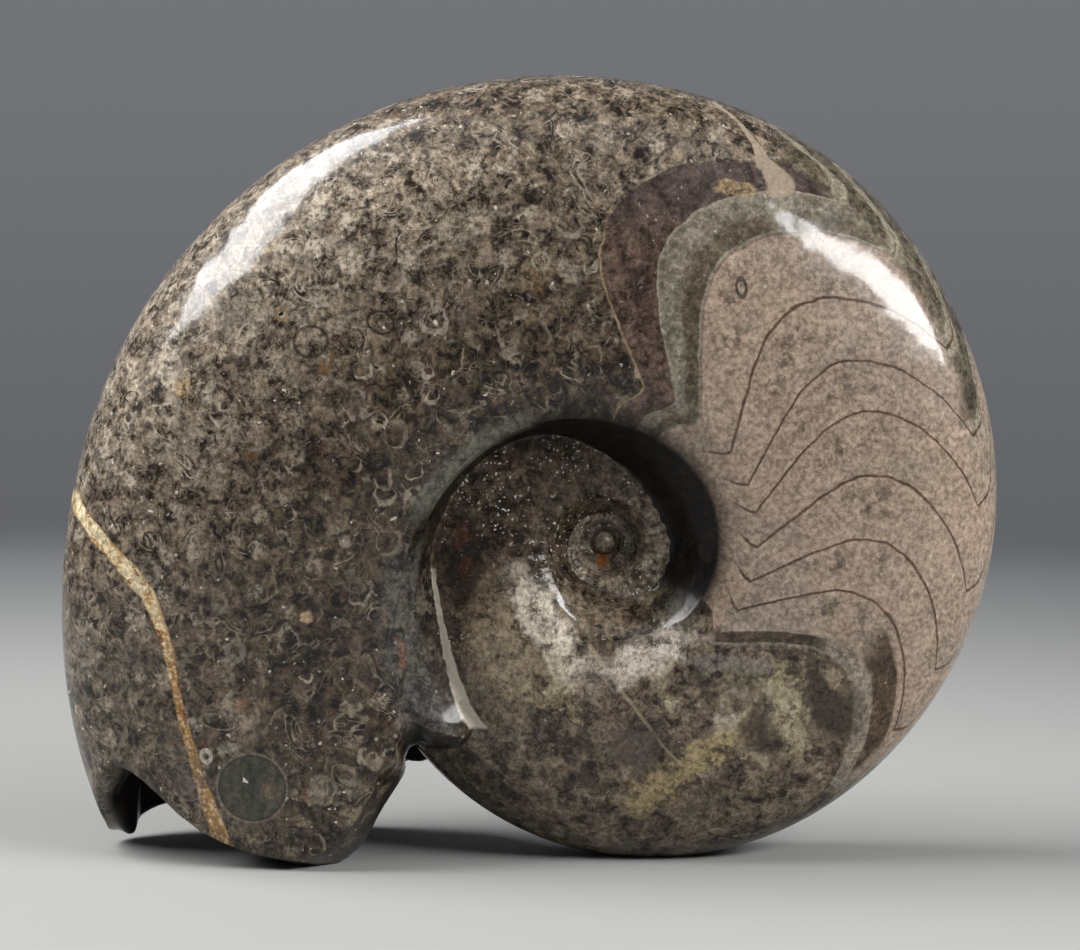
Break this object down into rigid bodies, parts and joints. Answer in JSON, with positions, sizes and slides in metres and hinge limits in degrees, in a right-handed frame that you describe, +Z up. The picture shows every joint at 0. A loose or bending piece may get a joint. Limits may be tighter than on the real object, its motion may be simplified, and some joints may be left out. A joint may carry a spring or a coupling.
{
  "type": "goniatite fossil",
  "caption": "Polished goniatite fossil: a coiled ammonoid shell turned to dark limestone, standing upright on its belly and on the lobes of its mouth.",
  "frame": {"origin": "on the ground, under the middle of the stone's length and thickness", "axes": "+X along the stone's length, away from its mouth; +Y along the coiling axis, from the near flank to the far flank; +Z up"},
  "size_m": [0.1708, 0.0513, 0.1424],
  "materials": {
    "limestone": "polished"
  },
  "bodies": {
    "root": {"goniatite": "limestone"}
  },
  "joints": []
}
